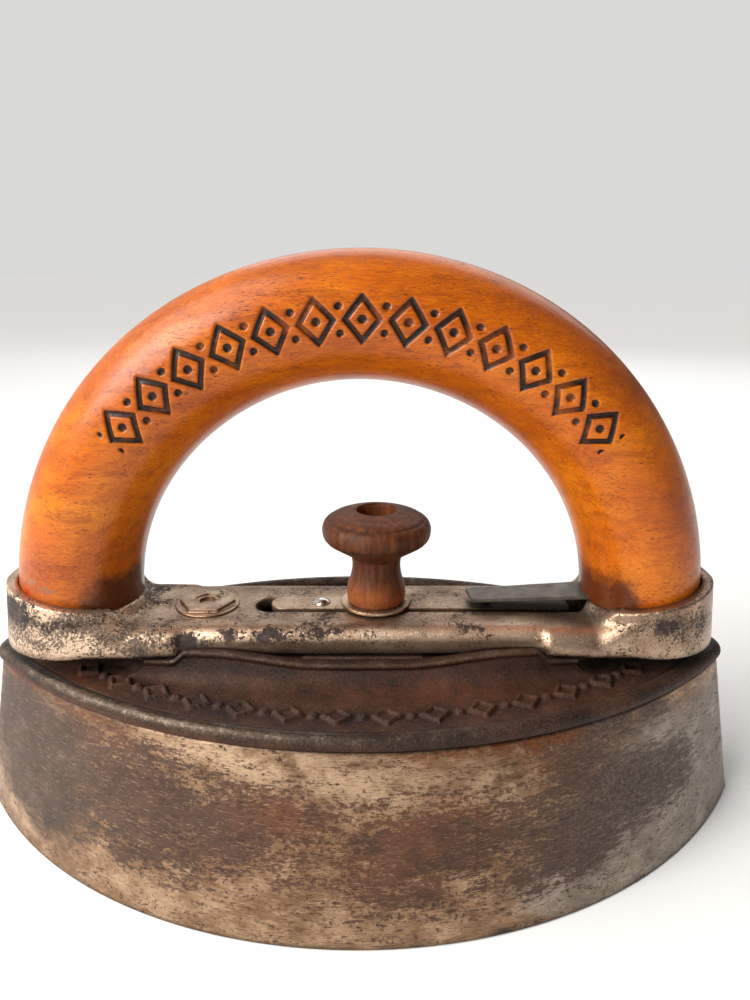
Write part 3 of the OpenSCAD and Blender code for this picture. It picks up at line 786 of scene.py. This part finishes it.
def cap_casting():
    def edge(inward):
        return inset_lens(CAP_HI[0] - BEAD_OUT, CAP_HI[1] - BEAD_OUT, CAP_TIP, inward)

    inner = edge(2.85)
    foot = clipped_lens(21.5, LIP_END + 9.2, 8.0, 135.0)
    rings, field = cap_rings(edge, inner, foot)
    verts, faces = skin(rings)
    x, y = verts[:, 0], verts[:, 1]
    row = np.arange(len(verts)) // len(inner)
    level = (row >= field + 2) & (row < field + FIELD_RINGS)
    to_neck = polyline_distance(verts[:, :2], foot[::2])[0]
    to_bead, nearest = polyline_distance(verts[:, :2], inner[::2])
    in_field = level & (to_bead > 0.3) & (np.abs(x) < LOZENGE_END)
    along = length_from_middle(inner[::2])[nearest]
    raised = relief(along, to_bead - LOZENGE_ROW) * in_field * smooth_step(to_neck, -0.2, 0.8)
    verts[:, 2] += 0.75 * raised
    obj = make("cap_casting", verts, faces, "base", ["top_cap"], CAP)

    z = verts[:, 2]
    beside_bar = np.abs(y) > SEAT_SIDE - 0.05
    top = smooth_step(z - lip_height(x), -0.95, -0.25) * beside_bar
    rim = polyline_distance(verts[:, :2], edge(1.0)[::2])[0] < 2.4
    crest = smooth_step(z, BEAD_Z - 0.6, BEAD_Z + BEAD_R - 0.2) * rim
    # worn grey on the bead's crest, the lip's top and the relief; painted shade makes the bead's worn grey weaker
    # towards the right of the front
    right = smooth_step(x, 0, 35) * smooth_step(-y, -10, 10)
    set_attribute(obj, "wear_and_shade", np.clip(0.72 * crest * (1 - 0.55 * right) + 0.5 * top + 0.22 * raised, 0, 1))
    under_bead = smooth_step(-z, -BEAD_Z - 0.1, -SEAM_Z) * rim * smooth_step(-x, 5, 40)
    stains = blobs(x, y, [(18, -20, 26, 6, 0.35), (-60, -14, 14, 8, 0.5), (-30, 22, 20, 8, 0.5)])
    set_attribute(obj, "rust", np.clip(under_bead + stains * ~rim, 0, 1))
    # painted shade: darker down the pocket under the bar, under the lip beside the bar and on the ground round the
    # raised row; the seam is a dark joint
    pocket = smooth_step(-z, -NECK_Z + 0.5, -FIELD_Z + 1) * (np.abs(y) < 8) * (np.abs(x) < 38)
    below = smooth_step(lip_height(x) - z, 1.2, 2.2) * smooth_step(z, FIELD_Z + 0.4, FIELD_Z + 3.0)
    below = 0.45 * below * beside_bar * (np.abs(x) < LIP_END)
    ground = in_field * (1 - raised) * smooth_step(-np.abs(to_bead - LOZENGE_ROW), -3.2, -1.5) * 0.35
    seam = smooth_step(-z, -SEAM_Z - 0.45, -SEAM_Z)
    set_attribute(obj, "shade_and_seam", np.clip(0.8 * pocket + ground + below + 0.6 * seam, 0, 1))


# ---------- handle ----------

def ornament(s, h, pitch=8.08, cells=13):
    """Pressed band of outlined lozenges, each with a dot in it, and pairs of dots between; in mm."""
    cell = np.floor(s / pitch + 0.5)
    u = s - cell * pitch
    lozenge = (np.abs(u) / 3.0 + np.abs(h) / 3.9 - 1) * 2.35
    line = 1 - smooth_step(np.abs(lozenge), 0.32, 0.62)
    dot = 1 - smooth_step(np.hypot(u, h), 0.55, 0.95)
    side = np.abs(np.abs(u) - pitch / 2)
    pair = 1 - smooth_step(np.hypot(side, np.abs(h) - 2.4), 0.45, 0.85)
    return np.maximum(np.maximum(line, dot), pair) * (np.abs(s) < cells / 2 * pitch)


def grip():
    """Half a ring of round section; its mesh is finer along the front, where the band is pressed in."""
    foot = math.asin((GRIP_LO[2] - RING_Z) / RING_R)
    columns = np.linspace(foot, math.pi - foot, 620)
    band = np.linspace(-6.0, 6.0, 56) / TUBE_R
    plain = np.linspace(band[-1], 2 * math.pi + band[0], 74)[1:-1]
    u, v = np.meshgrid(columns, np.concatenate([band, plain]), indexing="ij")
    mark = np.where(np.abs(v) <= band[-1], ornament((u - math.pi / 2) * RING_R, v * TUBE_R), 0)
    wave = 0.06 * np.sin(3.1 * u + 0.4) + 0.05 * np.sin(5.3 * u + 2 * v)
    radius = TUBE_R - 0.12 + wave - 0.55 * mark
    out = RING_R + radius * np.sin(v)
    surface = np.stack([-out * np.cos(u), -radius * np.cos(v), RING_Z + out * np.sin(u)], axis=-1)
    surface[..., 2] = np.maximum(surface[..., 2], GRIP_LO[2] + 0.02)
    verts, faces = skin(list(surface))
    obj = make("wooden_grip", verts, faces, "handle", ["wood_grip"], WOOD)
    x, y, z = verts.T
    low = smooth_step(-z, -GRIP_LO[2] - 14, -GRIP_LO[2] - 0.5)
    inner = smooth_step(-np.hypot(x, z - RING_Z), -RING_R - 1, -RING_R + 9)
    set_attribute(obj, "burn", np.append(mark, [0, 0]))
    set_attribute(obj, "grime_and_shade", np.clip(low * (0.22 + 0.85 * inner) + 0.10 * inner, 0, 1))
    near = y < 0
    chips = [(-59.5, 51.2, 2.6, 0.9, 0.9), (-63.2, 52.6, 1.6, 0.9, 0.8), (-64.5, 56, 1.4, 1.8, 0.4)]
    set_attribute(obj, "chip", near * blobs(x, z, chips))
    set_attribute(obj, "spot", near * smooth_step(blobs(x, z, [(-65.0, 50.2, 1.1, 0.9, 1.0)]), 0.35, 0.6))


def knob():
    sides = 112
    hole = 3.95                               # radius of the hole in its top
    rim_groove, neck_groove = 13.75, 9.6      # heights of the turned grooves in its side
    outer_ring, inner_ring = 9.7, 7.1         # radii of those in its top
    centre = (KNOB_LO + KNOB_HI) / 2
    base, top, w = KNOB_LO[2], KNOB_HI[2], (KNOB_HI[0] - KNOB_LO[0]) / 2
    side = curve_points([
        (5.6, 0), (5.85, 0.35), (6.0, 1.0), (6.05, 2.2), (5.95, 3.4), (5.7, 4.4), (5.3, 5.6), (5.0, 7.2),
        (4.95, 8.3), (5.05, 9.2), (5.3, 9.9), (5.9, 10.6), (6.8, 11.2), (8.2, 12.1), (9.6, 13.0), (10.35, 13.55),
        (10.85, 14.3), (w - 0.03, 15.3), (w - 0.05, 16.2), (10.6, 17.3), (9.5, 18.2), (8.0, 18.85), (6.0, 19.4),
        (4.6, 19.75), (4.15, 19.68), (hole, 19.3)], 150)
    side[:, 1] *= (top - base) / side[:, 1].max()
    r, z = side.T
    side[:, 0] -= 0.14 * np.exp(-((z - rim_groove) / 0.16) ** 2) + 0.10 * np.exp(-((z - neck_groove) / 0.25) ** 2)
    side[:, 1] -= (0.16 * np.exp(-((r - outer_ring) / 0.22) ** 2)
                   + 0.10 * np.exp(-((r - inner_ring) / 0.2) ** 2)) * (z > 16)
    profile = [(4.6, base)] + [(r, base + z) for r, z in side]
    floor_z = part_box("knob_washer")[0][2] / MM
    profile += [(hole, z) for z in np.linspace(base + side[-1, 1] - 0.4, floor_z, 8)] + [(1.6, floor_z)]
    verts, faces = skin(lathe(profile, centre, sides))
    obj = make("turned_knob", verts, faces, "latch", ["release_knob"], KNOB_WOOD)
    r, z = np.array(profile).T
    z = z - base
    bore = (r < hole + 0.05) & (z > 8)
    groove = np.exp(-((z - rim_groove) / 0.35) ** 2) + np.exp(-((r - outer_ring) / 0.3) ** 2) * (z > 16)
    # painted shade: darker down the bore, in the turned grooves and at the foot
    shade = np.where(bore, 0.25 + 0.6 * smooth_step(-z, -17.5, -12), 0) + 0.55 * groove
    shade = np.maximum(shade, 0.5 * smooth_step(-z, -0.8, 0))
    warm = np.maximum(smooth_step(-z, -6.5, -2.0), np.where(bore, smooth_step(z, 12, 17), 0))
    set_attribute(obj, "grime_and_shade", np.append(np.repeat(np.clip(shade, 0, 1), sides), [0, 0.8]))
    set_attribute(obj, "warm", np.append(np.repeat(warm, sides), [0, 0]))


def leaf_spring():
    """Flat strip from under the right foot to the latch, with its ground edges eased and a pip below its free end."""
    x0, x1 = SPRING_LO[0], SPRING_HI[0]
    t, ease = 0.8, 0.12                       # thickness, and how far its edges are ground off
    bend, drop = 44.8, 1.1                    # where it turns level, and how far its free end lies below that
    tip_half, wider = 2.9, 0.9                # half its width at the free end, and how much more at the bend
    high = SPRING_HI[2] - t
    rings = []
    for x in np.concatenate([np.linspace(x0, bend, 60), np.linspace(bend, x1, 12)[1:]]):
        f = np.clip((x - x0) / (bend - x0), 0, 1)
        low = high - drop * (1 - f)
        half = tip_half + wider * f
        slant = 0.6 * (1 - min((x - x0) / 3, 1))    # the free end is cut a little askew
        section = [(-half + ease, low), (half - ease, low), (half, low + ease), (half, low + t - ease),
                   (half - ease, low + t), (-half + ease, low + t), (-half, low + t - ease), (-half, low + ease)]
        rings.append(np.array([(x + slant * (0.5 - y / (2 * tip_half)), y, z) for y, z in section[::-1]]))
    verts, faces = skin(rings)
    rest = SPRING_LO[2] + 0.05
    pip = [(0.8, rest), (1.1, rest + 0.15), (1.2, rest + 0.4), (1.2, high - drop + 0.3)]
    more, more_faces = skin(lathe(pip, (x0 + 4, 0), 24))
    faces += [tuple(i + len(verts) for i in face) for face in more_faces]
    return make("flat_spring", np.concatenate([verts, more]), faces, None, ["leaf_spring"],
                SPRING_STEEL, smooth=False)


# where the handle frame has lost its plating; each spot as in the wall's marks
FRAME_FLAKES = (
    [(-67, 46.5, 5, 2.6, 1.1), (-58, 45, 5, 1.6, 0.7), (-60, 41, 5, 1.6, 0.6), (-35, 41, 2.6, 1.4, 1.2),
     (-42, 43, 5, 0.8, 0.4), (-26, 41.5, 3, 1.4, 0.9), (-18, 41.5, 4, 1.8, 1.1), (-7, 42, 4, 1.2, 1.0),
     (2, 41.5, 2.5, 1.6, 0.7), (12, 42, 2.6, 0.9, 0.7), (25, 41.8, 2.0, 1.4, 0.8), (22, 42.6, 3, 0.5, 0.6),
     (59, 44.5, 3, 2.2, 0.8), (36, 39, 3, 1.2, 0.8), (48, 41, 14, 2.0, -0.5)],
    [(60, 46, 6, 3, 1.0), (30, 41, 8, 1.6, 0.9), (-6, 42, 9, 1.2, 0.8), (-40, 41, 5, 2, 1.0)])


def frame_marks(obj):
    """Where the frame's plating is gone, where shade is painted on it, where light is painted on it, and where it is
    pitted.
    """
    x, y, z = points_mm(obj).T
    away = np.abs(y)
    value = marks(x, z, smooth_step(-y, -6, 6), *FRAME_FLAKES)
    set_attribute(obj, "flake", np.clip(value, -0.6, 1.4))
    bar = smooth_step(-np.abs(x), -37, -33)
    # painted shade: the bar's lower face, its flat top and the right block darker
    lower_edge = smooth_step(-z, -41.2, -40.2) * bar * 0.7 + smooth_step(-z, -39.2, -38.2) * (1 - bar) * 0.5
    flat_top = smooth_step(z, 42.3, 42.9) * smooth_step(-z, -44.5, -43.3) * smooth_step(-away, -11.5, -9.5)
    right = smooth_step(x, 34, 42) * smooth_step(-away, -30, -3)
    set_attribute(obj, "shade", np.clip(lower_edge + 0.28 * flat_top + 0.26 * right, 0, 1))
    # painted light: a highlight along the bar's shoulders, the left block lighter, and a little everywhere
    shoulder = smooth_step(z, 40.6, 41.8) * smooth_step(-z, -43.4, -42.8) * smooth_step(away, 9.5, 11)
    left = smooth_step(-x, 36, 44) * smooth_step(z, 38.5, 40)
    set_attribute(obj, "painted_light", np.clip(0.45 * shoulder * bar + 0.60 * left + 0.12, 0, 1))
    block = smooth_step(np.abs(x), 38, 46) * smooth_step(-z, -50, -44)
    set_attribute(obj, "rough", np.clip(0.85 * block * np.where(x < 0, 1.0, 0.5) + 0.30, 0, 1))


def frame_melt(points):
    """Fills the corner where the bar meets each end block."""
    x, _, z = np.abs(points.T)
    ramp = smooth_step(x, 31, 36) * smooth_step(-x, -52, -46) * smooth_step(-z, -48.5, -46.5)
    return 0.4 * ramp * smooth_step(z, 38.3, 39.2)


def close_rim(obj):
    """Brings the inside of each seat up to the grip's foot."""
    points = points_mm(obj)
    foot = np.abs(points[:, 0]) - RING_R
    away = np.hypot(foot, points[:, 1])
    inside = (points[:, 2] > GRIP_LO[2] + 0.15) & (away < TUBE_R + 0.9)
    scale = np.where(inside, (TUBE_R - 0.02) / np.maximum(away, 1), 1)
    points[:, 1] *= scale
    points[:, 0] = np.sign(points[:, 0]) * (RING_R + foot * scale)
    obj.data.vertices.foreach_set("co", (points * MM).ravel())
    return obj


def plate_marks(obj):
    """The latch plate has painted shadow where the spring lies over it, painted shade on its lower part and painted
    light on its left end.
    """
    x, _, z = points_mm(obj).T
    set_attribute(obj, "shade", 0.75 * smooth_step(x, 19, 25) + 0.25 * smooth_step(-z, -43.9, -43.2))
    set_attribute(obj, "painted_light", 0.30 * smooth_step(-x, -10, 2))


sole_casting()
cap_casting()
casting = soften("handle_frame", "frame_casting", "handle", NICKEL, 0.36, 4, frame_melt)
frame_marks(close_rim(casting))
grip()
soften("hook_nut", "worn_nut", "handle", NICKEL, 0.13, 14)
plate_marks(soften("knob_plate", "latch_plate", "latch", PLATE_NICKEL, 0.15, 4))
soften("plate_rivet", "rivet", "latch", BRIGHT, 0.09, 2)
knob()
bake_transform(leaf_spring())

for node, mat in {"plaster_fill": PLASTER, "cap_screw_left": DARK_STEEL, "cap_screw_right": DARK_STEEL,
                  "grip_screw_left": PLAIN_STEEL, "grip_screw_right": PLAIN_STEEL, "hook_bolt": NICKEL,
                  "lever_pin": PLAIN_STEEL, "latch_lever": DARK_STEEL, "knob_washer": PLAIN_STEEL,
                  "knob_screw": DARK_STEEL, "knob_nut": PLAIN_STEEL}.items():
    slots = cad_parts[node].data.materials
    slots.clear()
    slots.append(mat)


# ---------- floor, light and camera ----------

def floor():
    s = Shader("pale_floor")
    s.finish(rough=1.0, specular=0.0)
    s.bsdf.inputs["Base Color"].default_value = (0.93, 0.925, 0.915, 1)
    size = 6.0
    mesh = bpy.data.meshes.new("floor")
    mesh.from_pydata([(-size, -size, 0), (size, -size, 0), (size, size, 0), (-size, size, 0)], [], [(0, 1, 2, 3)])
    mesh.materials.append(s.mat)
    new_object("floor", mesh)


def light(kind, name, place, power, colour, size):
    """A light aimed at the middle of the iron; size is in metres, or for the sun an angle in degrees."""
    data = bpy.data.lights.new(name, kind)
    data.energy = power
    data.color = colour
    if kind == "AREA":
        data.shape = "RECTANGLE"
        data.size, data.size_y = size
    else:
        data.angle = math.radians(size)
    obj = new_object(name, data)
    obj.location = place
    obj.rotation_euler = (Vector((0, 0, 0.05)) - Vector(place)).to_track_quat("-Z", "Y").to_euler()


def background(nodes, colour, strength):
    node = nodes.new("ShaderNodeBackground")
    node.inputs["Color"].default_value = (*colour, 1)
    node.inputs["Strength"].default_value = strength
    return node


def lights():
    """A pale backdrop, a soft room brighter on the left, and a window to the upper left."""
    world = bpy.data.worlds.new("studio")
    world.use_nodes = True
    nodes, links = world.node_tree.nodes, world.node_tree.links
    side = nodes.new("ShaderNodeSeparateXYZ")
    links.new(nodes.new("ShaderNodeTexCoord").outputs["Generated"], side.inputs[0])
    fade = nodes.new("ShaderNodeMapRange")
    fade.interpolation_type = "SMOOTHSTEP"
    links.new(side.outputs["X"], fade.inputs["Value"])
    for key, value in {"From Min": -0.9, "From Max": 0.35, "To Min": 0.66, "To Max": 0.15}.items():
        fade.inputs[key].default_value = value
    room = background(nodes, (1.0, 0.98, 0.95), 1.0)
    links.new(fade.outputs["Result"], room.inputs["Strength"])
    backdrop = background(nodes, (0.97, 0.965, 0.955), 0.72)
    choose = nodes.new("ShaderNodeMixShader")
    seen = nodes.new("ShaderNodeLightPath").outputs["Is Camera Ray"]
    for number, socket in enumerate((seen, room.outputs[0], backdrop.outputs[0])):
        links.new(socket, choose.inputs[number])
    links.new(choose.outputs[0], nodes["World Output"].inputs["Surface"])
    nodes.remove(nodes["Background"])
    bpy.context.scene.world = world
    bpy.context.scene.view_settings.view_transform = "Standard"
    light("SUN", "daylight", (-0.7, -0.15, 0.85), 1.9, (1.0, 0.985, 0.96), 50)
    light("AREA", "window", (-0.40, -0.26, 0.36), 3.0, (1.0, 0.98, 0.95), (0.36, 0.30))
    light("AREA", "back", (0.15, 0.60, 0.55), 1.8, (1, 1, 1), (0.9, 0.5))


def camera():
    """Close, a little left of square on, looking 17 degrees down."""
    yaw, pitch, roll = 0.0153, 0.3004, -0.0057
    data = bpy.data.cameras.new("camera")
    data.lens = 27.65
    data.sensor_width = 36
    data.clip_start = 0.005
    obj = new_object("camera", data)
    obj.location = (0.00029, -0.14771, 0.11162)
    forward = Vector((math.sin(yaw) * math.cos(pitch), math.cos(yaw) * math.cos(pitch), -math.sin(pitch)))
    turn = forward.to_track_quat("-Z", "Y")
    turn.rotate(Quaternion(forward, roll))
    obj.rotation_mode = "QUATERNION"
    obj.rotation_quaternion = turn
    bpy.context.scene.camera = obj


floor()
lights()
camera()
